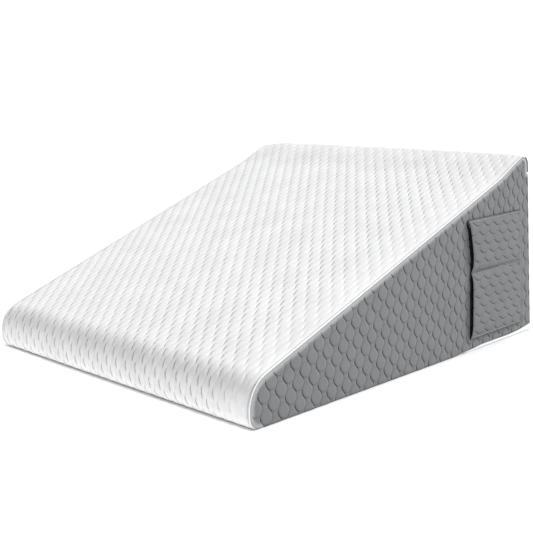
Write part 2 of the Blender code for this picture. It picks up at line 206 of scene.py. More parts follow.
STRAIGHT = (Lay(0.0, 1.0, 0.0, 0.0, 0.0, 0.0), Lay(0.0, 0.0, 1.0, 0.0, 0.0, 0.0))
SIDE_LAY = (Lay(-2.65 * MM, 0.96, 0.123, -0.077, 0.1, 0.0),
            Lay(2.36 * MM, -0.03, 0.973, 0.113, 0.0125, 0.0))
POCKET_LAY = (Lay(-15.5 * MM, 0.906, 0.0434, 0.201, 0.0, 0.0),
              Lay(7.0 * MM, 0.043, 0.973, -0.019, 0.0, 0.0))
TOP_LAY = (Lay(4.37 * MM, 1.0168, -0.0053, 0.021, 0.115, 0.0077),
           Lay(15.57 * MM, -0.0185, 0.9594, 0.031, -0.2, 0.053))

# Where the lattice has points across a cell, as shares of its half width
FINE_SHARES = (-1.0, -0.93, -0.8, -0.6, -0.36, -0.12, 0.12, 0.36, 0.6, 0.8, 0.93)
COVER_SHARES = (-1.0, -0.86, -0.55, 0.0, 0.55, 0.86)
FINE_ROWS = 14
COVER_ROWS = 10


def smooth_step(value, low, high):
    t = np.clip((value - low) / (high - low), 0.0, 1.0)
    return t * t * (3.0 - 2.0 * t)


def table_value(table, along):
    """Read a two-column table at a length along the side."""
    places, values = zip(*table)
    return float(np.interp(along, places, values))


def seam_height(along):
    return table_value(BOTTOM_SEAM, along)


def arc(centre, radius, start, end, steps):
    """Points on an arc in the side plane, angles in degrees from +Y."""
    points = []
    for i in range(steps + 1):
        angle = math.radians(start + (end - start) * i / steps)
        points.append((centre[0] + radius * math.cos(angle),
                       centre[1] + radius * math.sin(angle)))
    return points


def slope_height(along):
    """Height of the straight slope with the lift towards the high edge."""
    lift = HIGH_EDGE_LIFT * smooth_step(along, LIFT_FROM, LIFT_TO)
    return SLOPE_START_HEIGHT + SLOPE * along + lift


def back_line(height):
    return BACK_FOOT - BACK_LEAN * height


def nose_top_centre():
    along = NOSE_FRONT + NOSE_TOP_RADIUS
    drop = NOSE_TOP_RADIUS / math.cos(SLOPE_ANGLE)
    return along, SLOPE_START_HEIGHT + SLOPE * along - drop


def nose_low_centre(inset):
    return NOSE_FRONT + NOSE_LOW_RADIUS, NOSE_LOW_HEIGHT - NOSE_LOW_DROP * inset


def high_edge_centre():
    """Centre of the arc that touches the lifted slope and the back line."""
    slope_at_zero = (SLOPE_START_HEIGHT + HIGH_EDGE_LIFT
                     - HIGH_EDGE_RADIUS / math.cos(SLOPE_ANGLE))
    back_at_zero = BACK_FOOT - HIGH_EDGE_RADIUS / math.cos(LEAN_ANGLE)
    along = (back_at_zero - BACK_LEAN * slope_at_zero) / (1.0 + BACK_LEAN * SLOPE)
    return along, slope_at_zero + SLOPE * along


def soften_corner(y, z, drop):
    """Height after the cloth of a high corner is pressed down by drop."""
    above = np.clip((z - BACK_SEAM_HEIGHT) / HIGH_EDGE_RADIUS, 0.0, 1.0)
    return z - drop * above * smooth_step(y, CORNER_DROP_FROM, CORNER_DROP_TO)


def slope_span():
    """Where the slope's straight part starts and ends along the side."""
    out = -math.sin(SLOPE_ANGLE)
    return (nose_top_centre()[0] + out * NOSE_TOP_RADIUS,
            high_edge_centre()[0] + out * HIGH_EDGE_RADIUS)


def floor_angle(inset):
    """Angle at which the lower nose arc reaches the floor."""
    height = nose_low_centre(inset)[1]
    return 180.0 + math.degrees(math.asin(min(1.0, height / (NOSE_LOW_RADIUS - inset))))


def edge_path(inset, drop):
    """Fine side outline at an inset, from the nose's foot to the back seam."""
    slope_degrees = math.degrees(SLOPE_ANGLE)
    normal = (-math.sin(SLOPE_ANGLE), math.cos(SLOPE_ANGLE))
    path = arc(nose_low_centre(inset), NOSE_LOW_RADIUS - inset,
               floor_angle(inset), 180.0, 12)
    path += arc(nose_top_centre(), NOSE_TOP_RADIUS - inset, 180.0, 90.0 + slope_degrees, 16)
    start, end = slope_span()
    for i in range(1, 60):
        along = start + (end - start) * i / 60
        path.append((along - normal[0] * inset, slope_height(along) - normal[1] * inset))
    path += arc(high_edge_centre(), HIGH_EDGE_RADIUS - inset,
                90.0 + slope_degrees, -math.degrees(LEAN_ANGLE), 14)
    path.append((back_line(BACK_SEAM_HEIGHT) - inset, BACK_SEAM_HEIGHT))
    return [(y, float(soften_corner(y, z, drop))) for y, z in path]


def cover_table():
    """The top cloth's way round the filling, row by row.

    Columns: length from the tuck, place along, height, the two parts of the
    outward direction, and the share of the crown there.
    """
    slope_degrees = math.degrees(SLOPE_ANGLE)
    low, top, high = nose_low_centre(0.0), nose_top_centre(), high_edge_centre()
    rows = [(COVER_TUCK - GAP, 0.0, 0.0, -1.0, 0.0)]

    def add_arc(centre, radius, start, end, share_from, share_to):
        steps = 24
        for i in range(steps + 1):
            angle = math.radians(start + (end - start) * i / steps)
            way = (math.cos(angle), math.sin(angle))
            share = share_from + (share_to - share_from) * i / steps
            rows.append((centre[0] + radius * way[0], centre[1] + radius * way[1],
                         way[0], way[1], share))

    add_arc(low, NOSE_LOW_RADIUS, floor_angle(0.0), 180.0, 0.0, 0.5)
    add_arc(top, NOSE_TOP_RADIUS, 180.0, 90.0 + slope_degrees, 0.5, 0.5)
    start, end = slope_span()
    steps = 120
    for i in range(1, steps):
        along = start + (end - start) * i / steps
        rise = slope_height(along + MM) - slope_height(along - MM)
        angle = math.atan2(rise, 2.0 * MM)
        share = 0.5 + 0.5 * smooth_step(i / steps, 0.0, 0.15)
        share -= 0.5 * smooth_step(i / steps, 0.8, 1.0)
        rows.append((along, slope_height(along), -math.sin(angle), math.cos(angle), share))
    add_arc(high, HIGH_EDGE_RADIUS, 90.0 + slope_degrees, 30.0, 0.5, 0.5)
    add_arc(high, HIGH_EDGE_RADIUS, 30.0, -math.degrees(LEAN_ANGLE), 0.5, 0.0)
    rows.append((back_line(BACK_SEAM_HEIGHT), BACK_SEAM_HEIGHT, 1.0, 0.0, 0.0))
    table = np.array(rows, float)
    steps = np.hypot(np.diff(table[:, 0]), np.diff(table[:, 1]))
    length = np.concatenate(([0.0], np.cumsum(steps)))
    keep = np.concatenate(([True], steps > 1e-7))
    return np.column_stack((length, table))[keep]


COVER_WAY = cover_table()
COVER_LENGTH = float(COVER_WAY[-1, 0])
REAR_TURN = COVER_LENGTH - 39.0 * MM


def cover_point(across, length, raised):
    """Places on the pillow for points of the top cloth, raised over its ground."""
    y, z, out_y, out_z, share = (np.interp(length, COVER_WAY[:, 0], COVER_WAY[:, i])
                                 for i in range(1, 6))
    beyond = np.clip((np.abs(across) - (HALF - EDGE_ROLL_WIDTH)) / EDGE_ROLL_WIDTH, 0.0, 1.0)
    turn = np.sqrt(1.0 - beyond ** 2)
    crown = TOP_CROWN * (1.0 - np.clip(np.abs(across) / HALF, 0.0, 1.0) ** 2)
    out = crown * share * turn - EDGE_ROLL_DROP * (1.0 - turn) + raised
    drop = LEFT_CORNER_DROP * smooth_step(-across, WIDTH / 2 - CORNER_DROP_WIDTH, WIDTH / 2)
    y = y + out_y * out
    z = np.maximum(soften_corner(y, z + out_z * out, drop), 0.0)
    return np.column_stack((across, y, z))


def wave(relief, length):
    """Swing of the grooves, from -1 to 1, a little flatter than a sine."""
    turn = 2.0 * math.pi * length / relief.period
    return np.cos(turn) - WAVE_ROUNDING * np.cos(3.0 * turn)


def cell_swing(relief, column, length):
    """Swing of a column's width, 1 where its cells are widest."""
    return np.where(np.mod(column, 2) == 0, 1.0, -1.0) * wave(relief, length)


def cell_half(relief, column, length):
    """Half the width of a column of cells at a length along it."""
    return relief.spacing / 2 + relief.swing * cell_swing(relief, column, length)


def bead_reach(relief, column, off, length):
    """Distance from the middle of the nearest round cell, 1 at its rim."""
    turn = length / relief.period - 0.5 * np.mod(column, 2)
    from_middle = (turn - np.round(turn)) * relief.period
    return np.hypot(off / (relief.spacing / 2 + relief.swing), from_middle / relief.bead)


def relief_height(relief, across, length):
    """Height of the cells over the grooves' foot, at places on the flat cloth."""
    column = np.round(across / relief.spacing)
    off = across - column * relief.spacing
    half = cell_half(relief, column, length)
    column = np.where(np.abs(off) > half, column + np.sign(off), column)
    off = across - column * relief.spacing
    half = cell_half(relief, column, length)
    inside = np.clip(half - np.abs(off), 0.0, None)
    rise = 1.0 - (1.0 - np.clip(inside / relief.shoulder, 0.0, 1.0)) ** 2.2
    reach = bead_reach(relief, column, off, length)
    puff = 1.0 - (1.0 - relief.neck) * smooth_step(reach, 0.65, 1.1)
    uneven = 1.0 + 0.1 * np.sin(column * 2.4 + length * 47.0) * np.cos(length * 31.0)
    side = np.where(np.mod(column, 2) == 0, 1.0, -1.0) * np.sign(off)
    turn = 2.0 * math.pi * length / relief.period
    strong = smooth_step(side * np.sin(turn + STRONG_TURN), -0.8, 0.6)
    return (relief.dome * rise * puff * uneven
            - relief.groove * (0.3 + 0.7 * strong) * np.exp(-(inside / (0.7 * MM)) ** 2))


def to_cloth(lay, across, along):
    """Place on the flat cloth for a place on the piece."""
    return [part.shift + part.across * across + part.along * along
            + part.twist * across * along + part.bend * across ** 2
            + part.curl * along ** 2 for part in lay]


def to_piece(lay, cloth):
    """Places on the piece for places on the flat cloth."""
    across, along = cloth[:, 0].copy(), cloth[:, 1].copy()
    for _ in range(12):
        found = to_cloth(lay, across, along)
        across += cloth[:, 0] - found[0]
        along += cloth[:, 1] - found[1]
    return np.column_stack((across, along))


def lattice(relief, low, high, shares, rows):
    """Places on the flat cloth that follow the grooves, between two corners."""
    first = math.floor(low[0] / relief.spacing) - 1
    last = math.ceil(high[0] / relief.spacing) + 1
    step = relief.period / rows
    lengths = step * np.arange(math.floor(low[1] / step), math.ceil(high[1] / step) + 1)
    columns = np.arange(first, last + 1)
    column, length, share = np.meshgrid(columns, lengths, np.array(shares), indexing="ij")
    across = column * relief.spacing + share * cell_half(relief, column, length)
    return np.column_stack((across.ravel(), length.ravel()))


def lattice_on_piece(relief, lay, outline, shares, rows):
    """Points of the lattice inside an outline, in the piece's own places."""
    corners = np.array(outline)
    edges = np.column_stack(to_cloth(lay, corners[:, 0], corners[:, 1]))
    spread = lattice(relief, edges.min(axis=0), edges.max(axis=0), shares, rows)
    spread = to_piece(lay, spread)
    return spread[inside_outline(spread, outline)]


def line_distance(points, line):
    """Distance of each point from an open line."""
    best = np.full(len(points), 1.0)
    corners = np.array(line, float)
    for start, end in zip(corners, corners[1:]):
        run = end - start
        size = float(run @ run)
        if size < 1e-14:
            continue
        share = np.clip(((points - start) @ run) / size, 0.0, 1.0)
        near = start + share[:, None] * run
        best = np.minimum(best, np.hypot(*(points - near).T))
    return best


def rim_distance(points, outline):
    """Distance of each point from the nearest side of an outline."""
    return line_distance(points, list(outline) + [outline[0]])


def inside_outline(points, outline):
    """Whether each point lies inside an outline."""
    crossed = np.zeros(len(points), bool)
    corners = np.array(outline, float)
    for (y0, z0), (y1, z1) in zip(corners, np.roll(corners, -1, axis=0)):
        if z0 == z1:
            continue
        spans = (z0 > points[:, 1]) != (z1 > points[:, 1])
        cut = y0 + (y1 - y0) * (points[:, 1] - z0) / (z1 - z0)
        crossed ^= spans & (points[:, 0] < cut)
    return crossed


def even_outline(outline, spacing):
    """The same outline with its longer sides cut into even steps."""
    points = []
    for start, end in zip(outline, outline[1:] + outline[:1]):
        run = math.hypot(end[0] - start[0], end[1] - start[1])
        steps = max(1, round(run / spacing))
        for i in range(steps):
            points.append((start[0] + (end[0] - start[0]) * i / steps,
                           start[1] + (end[1] - start[1]) * i / steps))
    return points


def inner_ring(outline, distance):
    """Points a set distance inside an outline that runs clockwise."""
    corners = np.array(outline, float)
    following = np.roll(corners, -1, axis=0)
    run = following - corners
    size = np.hypot(run[:, 0], run[:, 1])[:, None]
    inward = np.column_stack((run[:, 1], -run[:, 0])) / size
    ring = (corners + following) / 2 + inward * distance
    clear = rim_distance(ring, outline) > 0.95 * distance
    return ring[clear & inside_outline(ring, outline)]


def fill_outline(outline, inner):
    """Triangles between an outline and the loose points inside it.

    Gives the points in use, the triangles and the rim's point numbers.
    """
    flat = [Vector(point) for point in outline] + [Vector(point) for point in inner]
    count = len(outline)
    rim = [(i, (i + 1) % count) for i in range(count)]
    points, _, faces, source, _, _ = delaunay_2d_cdt(flat, rim, [], 1, 1e-7)
    where = {}
    for number, origins in enumerate(source):
        for origin in origins:
            where[origin] = number
    return (np.array([tuple(point) for point in points]), [list(face) for face in faces],
            [where[i] for i in range(count)])


def mesh_piece(name, points, faces, cloth, material, sharp=55.0):
    """Smooth shaded closed mesh. cloth holds each point's place on the flat cloth."""
    mesh = bpy.data.meshes.new(name)
    mesh.from_pydata([tuple(point) for point in points], [], faces)
    bm = bmesh.new()
    bm.from_mesh(mesh)
    bmesh.ops.recalc_face_normals(bm, faces=bm.faces)
    bm.to_mesh(mesh)
    bm.free()
    layer = mesh.uv_layers.new(name="cloth")
    corner = np.empty(len(mesh.loops), np.int32)
    mesh.loops.foreach_get("vertex_index", corner)
    layer.data.foreach_set("uv", np.asarray(cloth, np.float32)[corner].ravel())
    mesh.shade_smooth()
    mesh.set_sharp_from_angle(angle=math.radians(sharp))
    mesh.materials.append(material)
    piece = bpy.data.objects.new(name, mesh)
    piece.location = SHIFT
    pillow.objects.link(piece)
    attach(piece, BODY)
    return piece


def keep_distance(piece, name, values):
    """Store a distance for each point: from the sewn edge, or into the pocket."""
    layer = piece.data.attributes.new(name, "FLOAT", "POINT")
    layer.data.foreach_set("value", np.asarray(values, np.float32))


def build_top_cover(material):
    """The filled body in its white cloth, closed behind and underneath."""
    across_steps = round(2 * HALF / COVER_RIM_STEP)
    length_steps = round(COVER_LENGTH / COVER_RIM_STEP)
    across = [-HALF + 2 * HALF * i / across_steps for i in range(across_steps + 1)]
    lengths = [COVER_LENGTH * i / length_steps for i in range(length_steps + 1)]
    outline = [(across[0], length) for length in lengths[:-1]]
    outline += [(x, COVER_LENGTH) for x in across[:-1]]
    outline += [(across[-1], length) for length in reversed(lengths[1:])]
    outline += [(x, 0.0) for x in reversed(across[1:])]
    spread = lattice_on_piece(TOP_RELIEF, TOP_LAY, outline, COVER_SHARES, COVER_ROWS)
    clear = np.minimum(HALF - np.abs(spread[:, 0]),
                       np.minimum(spread[:, 1], COVER_LENGTH - spread[:, 1]))
    ring = inner_ring(outline, 1.3 * MM)
    inner = np.vstack((ring, spread[clear > 2.4 * MM]))
    flat, faces, rim = fill_outline(outline, inner)
    side_clear = HALF - np.abs(flat[:, 0])
    end_clear = np.minimum(flat[:, 1], COVER_LENGTH - flat[:, 1])
    fade = smooth_step(side_clear, 3.0 * MM, 10.0 * MM) * smooth_step(end_clear, 0.0, 8.0 * MM)
    fade *= 1.0 - 0.85 * smooth_step(flat[:, 1], REAR_TURN - 12.0 * MM, REAR_TURN)
    cloth = to_cloth(TOP_LAY, flat[:, 0], flat[:, 1])
    raised = fade * (relief_height(TOP_RELIEF, *cloth) - 0.5 * TOP_RELIEF.dome)
    points = list(map(tuple, cover_point(flat[:, 0], flat[:, 1], raised)))
    cloth = list(zip(*cloth))

    panel_room = PANEL_THICK + GAP
    bottom = BOTTOM_THICK + GAP + 0.2 * MM
    foot = back_line(0.0) - panel_room - 1.5 * MM
    closing = [(back_line(BACK_SEAM_HEIGHT) - panel_room, BACK_SEAM_HEIGHT - 0.2 * MM)]
    closing += arc((foot - FOOT_RADIUS, bottom + FOOT_RADIUS), FOOT_RADIUS, 0.0, -90.0, 5)
    closing.append((COVER_TUCK, bottom))
    corners = {"left": 0, "back": length_steps, "right": length_steps + across_steps,
               "front": 2 * length_steps + across_steps}
    back_row = rim[corners["back"]:corners["right"] + 1]
    front_row = [rim[0]] + list(reversed(rim[corners["front"]:]))
    rows = [back_row]
    for y, z in closing:
        row = []
        for x, number in zip(across, back_row):
            row.append(len(points))
            points.append((x, y, z))
            cloth.append((x, y))
        rows.append(row)
    rows.append(front_row)
    for first, second in zip(rows, rows[1:]):
        for i in range(across_steps):
            faces.append([first[i], first[i + 1], second[i + 1], second[i]])
    left = rim[:length_steps + 1] + [row[0] for row in rows[1:-1]]
    right = rim[corners["right"]:corners["front"] + 1] + [row[-1] for row in rows[-2:0:-1]]
    faces += [left, right]
    piece = mesh_piece("top_cover", points, faces, cloth, material)
    # The white cloth gets painted crease shade near its side seams and where it turns away over
    # the high edge
    edge = np.minimum(HALF + 1.0 * MM - flat[:, 0], REAR_TURN - flat[:, 1])
    keep_distance(piece, "edge", np.concatenate((edge, np.zeros(len(points) - len(flat)))))
    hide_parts("cushion")
    return piece


def panel_profile(edge, foot, raised):
    """Height of a grey panel's face, rounded to its seam and its other edges."""
    rounding = np.sqrt(1.0 - (1.0 - np.clip(edge / PANEL_ROUNDING, 0.0, 1.0)) ** 2)
    foot_turn = np.sqrt(1.0 - (1.0 - np.clip(foot / PANEL_FOOT_ROUNDING, 0.0, 1.0)) ** 2)
    ground = PANEL_RIM + (PANEL_GROUND - PANEL_RIM) * rounding * foot_turn
    fade = smooth_step(edge, 2.5 * MM, 9.0 * MM) * smooth_step(foot, 0.0, 2.5 * MM)
    return ground + raised * fade


def relief_panel(name, seam, rest, relief, lay, place, material):
    """Closed sheet with a relief on its face and a plain back.

    seam is the line along the white cloth and rest the other edges, clockwise
    round the panel. place turns a point of the panel's plane and a height
    into a point of the pillow.
    """
    rim_points = even_outline(seam + rest, 2.2 * MM)
    spread = lattice_on_piece(relief, lay, rim_points, FINE_SHARES, FINE_ROWS)
    spread = spread[rim_distance(spread, rim_points) > 1.7 * MM]
    inner = np.vstack((inner_ring(rim_points, 0.9 * MM), spread))
    plane, faces, rim = fill_outline(rim_points, inner)
    edge = line_distance(plane, seam)
    foot = line_distance(plane, [seam[-1]] + rest + [seam[0]])
    cloth = to_cloth(lay, plane[:, 0], plane[:, 1])
    height = panel_profile(edge, foot, relief_height(relief, *cloth))
    points = [place(y, z, h) for (y, z), h in zip(plane, height)]
    back = [len(points) + i for i in range(len(rim))]
    points += [place(plane[i][0], plane[i][1], 0.0) for i in rim]
    for i in range(len(rim)):
        j = (i + 1) % len(rim)
        faces.append([rim[i], rim[j], back[j], back[i]])
    faces.append(list(reversed(back)))
    cloth = np.column_stack(cloth)
    piece = mesh_piece(name, points, faces, np.vstack((cloth, cloth[rim])), material)
    keep_distance(piece, "edge", np.concatenate((edge, np.zeros(len(rim)))))
    return piece, np.vstack((plane, plane[rim]))


def side_seam(drop):
    """The side panel's seam with the top cloth, from the nose's foot to the back."""
    return edge_path(PANEL_INSET, drop)


def side_rest():
    """The side panel's other edges, down the back and along the floor."""
    below_roll = BACK_SEAM_HEIGHT - 2.0 * MM
    foot = BACK_FOOT - PANEL_BACK_INSET - 1.0 * MM
    rest = [(back_line(below_roll) - PANEL_BACK_INSET, below_roll),
            (foot, seam_height(foot) + GAP)]
    return rest + [(along, height + GAP) for along, height in reversed(BOTTOM_SEAM[:-1])]


def outline_area(outline):
    """Area and enclosing width and height of an outline."""
    corners = np.array(outline)
    following = np.roll(corners, -1, axis=0)
    area = abs(float(np.sum(corners[:, 0] * following[:, 1]
                            - following[:, 0] * corners[:, 1]))) / 2
    size = corners.max(axis=0) - corners.min(axis=0)
    return area, (float(size[0]), float(size[1]))


def build_side_cloth(name, side, node, material):
    base = WIDTH / 2 - PANEL_THICK

    def place(y, z, height):
        return side * (base + height), y, z

    seam = side_seam(LEFT_CORNER_DROP if side < 0.0 else 0.0)
    rest = side_rest()
    piece, plane = relief_panel(name, seam, rest, SIDE_RELIEF, SIDE_LAY, place, material)
    if side > 0.0:
        # Places under the pocket, from its mouth inwards, get the painted pocket shade
        keep_distance(piece, "pocket", into_pocket(plane[:, 0], plane[:, 1]))
    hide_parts(node)
    return piece


def build_back_cloth(material):
    """Grey relief cloth over the high end."""
    low = BOTTOM_SEAM[-1][1] + GAP
    high = BACK_SEAM_HEIGHT - GAP

    def place(x, z, height):
        return x, back_line(z) - PANEL_THICK + height, z

    piece, _ = relief_panel("back_cloth", [(-HALF, high), (HALF, high)],
                            [(HALF, low), (-HALF, low)], SIDE_RELIEF, STRAIGHT,
                            place, material)
    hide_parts("back_panel")
    return piece


def bottom_rim():
    """Places round the bottom cloth: across, along, outward way, lip height."""
    out_edge = WIDTH / 2 - BOTTOM_SIDE_INSET
    front = COVER_TUCK + GAP
    side = []
    rear = REAR_EDGE - BOTTOM_CORNER
    steps = 90
    for i in range(steps):
        along = front + 0.5 * MM + (rear - front - 2.0 * MM) * i / steps
        out = smooth_step(along, EDGE_OUT_FROM, EDGE_OUT_TO)
        across = HALF + (out_edge - HALF) * out
        side.append((across, along, (1.0, 0.0), max(BOTTOM_THICK, seam_height(along))))
    corner = []
    middle = (out_edge - BOTTOM_CORNER, rear)
    for i in range(7):
        angle = math.radians(15.0 * i)
        way = (math.cos(angle), math.sin(angle))
        along = middle[1] + BOTTOM_CORNER * way[1]
        corner.append((middle[0] + BOTTOM_CORNER * way[0], along, way, seam_height(along)))
    right = side + corner
    lip = BOTTOM_SEAM[-1][1]
    shares = [0.48 - 0.96 * i / 80 for i in range(81)]
    rear_rim = [(share * WIDTH, REAR_EDGE, (0.0, 1.0), lip) for share in shares]
    left = [(-x, y, (-way[0], way[1]), height) for x, y, way, height in reversed(right)]
    front_rim = [(-share * WIDTH, front, (0.0, -1.0), BOTTOM_THICK) for share in shares]
    return right + rear_rim + left + front_rim


def lip_profile(height):
    """Turned up edge as inward offset and height, outside first."""
    bend = min(BOTTOM_BEND_RADIUS, 0.45 * height)
    inner = max(bend - BOTTOM_THICK, 0.3 * MM)
    profile = []
    for i in range(7):
        angle = math.radians(15.0 * i)
        profile.append((bend * (1.0 - math.sin(angle)), bend * (1.0 - math.cos(angle))))
    profile.append((0.0, max(height - 0.5 * MM, bend)))
    profile.append((0.3 * MM, height))
    profile.append((BOTTOM_THICK, height))
    for i in range(4):
        angle = math.radians(30.0 * i)
        offset = BOTTOM_THICK + 0.05 * MM + inner * (1.0 - math.cos(angle))
        level = BOTTOM_THICK + inner * (1.0 - math.sin(angle))
        profile.append((offset, min(height, level)))
    return profile


def build_bottom_cloth(material):
    """White cloth under the pillow, turned up at the rear and the rear sides."""
    rim = bottom_rim()
    profiles = [lip_profile(height) for _, _, _, height in rim]
    run = [0.0]
    for first, second in zip(rim, rim[1:]):
        run.append(run[-1] + math.hypot(second[0] - first[0], second[1] - first[1]))
    points = []
    cloth = []
    for step in range(len(profiles[0])):
        for (x, y, way, _), profile, length in zip(rim, profiles, run):
            offset, z = profile[step]
            points.append((x - offset * way[0], y - offset * way[1], z))
            cloth.append((x + z * way[0], y + z * way[1]))
    count = len(rim)
    faces = []
    for step in range(len(profiles[0]) - 1):
        for i in range(count):
            j = (i + 1) % count
            faces.append([step * count + i, step * count + j,
                          (step + 1) * count + j, (step + 1) * count + i])
    last = (len(profiles[0]) - 1) * count
    faces.append(list(range(count)))
    faces.append([last + i for i in reversed(range(count))])
    piece = mesh_piece("bottom_cloth", points, faces, cloth, material, sharp=40.0)
    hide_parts("bottom_panel")
    return piece


def pocket_mouth(height):
    """The mouth edge runs straight, then is pulled forward towards the top."""
    pull = smooth_step(height, POCKET_MOUTH_BEND, POCKET_TOP)
    return POCKET_MOUTH + (POCKET_MOUTH_TOP - POCKET_MOUTH) * pull


def pocket_rear(height):
    share = (height - POCKET_BOTTOM) / (POCKET_TOP - POCKET_BOTTOM)
    return POCKET_REAR_LOW + (POCKET_REAR_HIGH - POCKET_REAR_LOW) * share


def pocket_rise(along, height):
    """Height of the pocket's cloth over the panel."""
    mouth = pocket_mouth(height)
    share = np.clip((along - mouth) / (pocket_rear(height) - mouth), 0.0, 1.0)
    upper = height > POCKET_MIDDLE
    low = np.where(upper, POCKET_MIDDLE, POCKET_BOTTOM)
    high = np.where(upper, POCKET_TOP, POCKET_MIDDLE)
    chamber = np.clip((height - low) / (high - low), 0.0, 1.0)
    seam_pull = 1.0 - np.abs(2.0 * chamber - 1.0) ** POCKET_FLATNESS
    return POCKET_SLACK * POCKET_STAND_OFF * seam_pull * (1.0 - share ** 2.2)


def into_pocket(along, height):
    """How far inside the pocket a place on the side panel lies."""
    ends = np.minimum(height - POCKET_BOTTOM, POCKET_TOP - height)
    return np.minimum(np.minimum(along - pocket_mouth(height),
                                 pocket_rear(height) - along), ends)


def pocket_outline():
    """Outline of the pocket in the side plane, clockwise from the low front."""
    steps = 60
    levels = [POCKET_BOTTOM + (POCKET_TOP - POCKET_BOTTOM) * i / steps
              for i in range(steps + 1)]
    front = [(float(pocket_mouth(level)), level) for level in levels]
    rear = [(float(pocket_rear(level)), level) for level in reversed(levels)]
    return front + rear


def pocket_surface(along, height, through):
    """Place across for the pocket's cloth, through it from 0 inside to outside."""
    return WIDTH / 2 + GAP + pocket_rise(along, height) + through


def pocket_edge(along, height):
    """Distance from the pocket's sewn edges and its middle seam, and the mouth."""
    sewn = np.minimum(height - POCKET_BOTTOM, POCKET_TOP - height)
    sewn = np.minimum(sewn, pocket_rear(height) - along)
    return sewn, np.abs(height - POCKET_MIDDLE), along - pocket_mouth(height)


def build_pocket_cloth(material):
    """Cloth of the double pocket: hemmed mouth, sewn edges, turned pattern."""
    outline = even_outline(pocket_outline(), 1.8 * MM)
    turned = [(height, along) for along, height in outline]
    spread = lattice_on_piece(POCKET_RELIEF, POCKET_LAY, turned, FINE_SHARES, FINE_ROWS)
    spread = spread[:, ::-1]
    spread = spread[rim_distance(spread, outline) > 1.9 * MM]
    seam_rows = []
    for offset in (-1.6 * MM, -0.8 * MM, 0.0, 0.8 * MM, 1.6 * MM):
        level = POCKET_MIDDLE + offset
        reach = pocket_rear(level) - pocket_mouth(level) - 4.0 * MM
        steps = round(reach / (1.8 * MM))
        for i in range(steps + 1):
            seam_rows.append((pocket_mouth(level) + 2.0 * MM + reach * i / steps, level))
    spread = spread[np.abs(spread[:, 1] - POCKET_MIDDLE) > 2.2 * MM]
    inner = np.vstack((inner_ring(outline, 0.9 * MM), spread, np.array(seam_rows, float)))
    plane, faces, rim = fill_outline(outline, inner)
    along, height = plane[:, 0], plane[:, 1]
    sewn, middle, mouth = pocket_edge(along, height)
    fade = (smooth_step(sewn, 2.5 * MM, 7.0 * MM) * smooth_step(mouth, 1.0 * MM, 5.0 * MM)
            * smooth_step(middle, 1.5 * MM, 6.0 * MM))
    cloth = to_cloth(POCKET_LAY, height, along)
    raised = fade * relief_height(POCKET_RELIEF, *cloth)
    hem = HEM_RAISE * (1.0 - smooth_step(sewn, 0.7 * HEM_WIDTH, HEM_WIDTH))
    hem = np.maximum(hem, 0.5 * HEM_RAISE * (1.0 - smooth_step(mouth, 1.5 * HEM_WIDTH,
                                                               2.0 * HEM_WIDTH)))
    sewing = 0.55 * MM * np.exp(-((sewn - SEAM_IN_FROM_EDGE) / (0.8 * MM)) ** 2)
    sewing = np.maximum(sewing, 0.6 * MM * np.exp(-(middle / (1.0 * MM)) ** 2))
    through = POCKET_GROUND + hem + raised - sewing
    rounding = 1.0 - np.clip(np.minimum(sewn, mouth) / (1.2 * MM), 0.0, 1.0)
    through = np.maximum(through - 0.5 * MM * rounding ** 2, 0.5 * MM)
    outer = np.column_stack((pocket_surface(along, height, through), along, height))
    inside_face = np.column_stack((pocket_surface(along, height, 0.0), along, height))
    count = len(plane)
    points = np.vstack((outer, inside_face))
    turned = [[i + count for i in reversed(face)] for face in faces]
    walls = []
    for i in range(len(rim)):
        j = (i + 1) % len(rim)
        walls.append([rim[i], rim[j], rim[j] + count, rim[i] + count])
    cloth = np.column_stack(cloth)
    piece = mesh_piece("pocket_cloth", points, faces + turned + walls,
                       np.vstack((cloth, cloth)), material)
    edge = np.minimum(sewn, middle)
    keep_distance(piece, "edge", np.concatenate((edge, edge)))
    # The pocket's inner face and the walls of its mouth get the painted pocket shade; its outer
    # face none
    keep_distance(piece, "pocket", np.repeat((-0.3 * MM, 2.0 * MM), count))
    area, flat = outline_area(outline)
    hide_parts("pocket")
    return piece, flat, area


def tube(points, radii, sides):
    """Points and faces of a closed round tube along a line."""
    places = [Vector(point) for point in points]
    count = len(places)
    rings = []
    side_way = None
    for i, place in enumerate(places):
        run = (places[min(i + 1, count - 1)] - places[max(i - 1, 0)]).normalized()
        if side_way is None:
            side_way = run.orthogonal().normalized()
        side_way = (side_way - run * side_way.dot(run)).normalized()
        other = run.cross(side_way)
        for j in range(sides):
            angle = 2.0 * math.pi * j / sides
            way = side_way * math.cos(angle) + other * math.sin(angle)
            rings.append(place + way * radii[i])
    faces = []
    for i in range(count - 1):
        for j in range(sides):
            k = (j + 1) % sides
            faces.append([i * sides + j, i * sides + k,
                          (i + 1) * sides + k, (i + 1) * sides + j])
    faces.append(list(reversed(range(sides))))
    faces.append([(count - 1) * sides + j for j in range(sides)])
    return [tuple(ring) for ring in rings], faces


def even_line(points, spacing):
    """The same line in even steps."""
    corners = np.array(points, float)
    steps = np.linalg.norm(np.diff(corners, axis=0), axis=1)
    length = np.concatenate(([0.0], np.cumsum(steps)))
    count = max(2, round(length[-1] / spacing) + 1)
    at = np.linspace(0.0, length[-1], count)
    return np.column_stack([np.interp(at, length, corners[:, i])
                            for i in range(corners.shape[1])])


def roll_radius(y, z, length):
    """Radius of the seam roll: it thins under the nose and swells a little."""
    centre = nose_low_centre(PANEL_INSET)
    radius = ROLL_RADIUS * (1.0 + 0.05 * math.sin(length * 900.0))
    if z > centre[1]:
        return radius
    clear = math.hypot(y - centre[0], z - centre[1]) - (NOSE_LOW_RADIUS - PANEL_INSET) - GAP
    return min(radius, max(clear, 0.3 * MM))


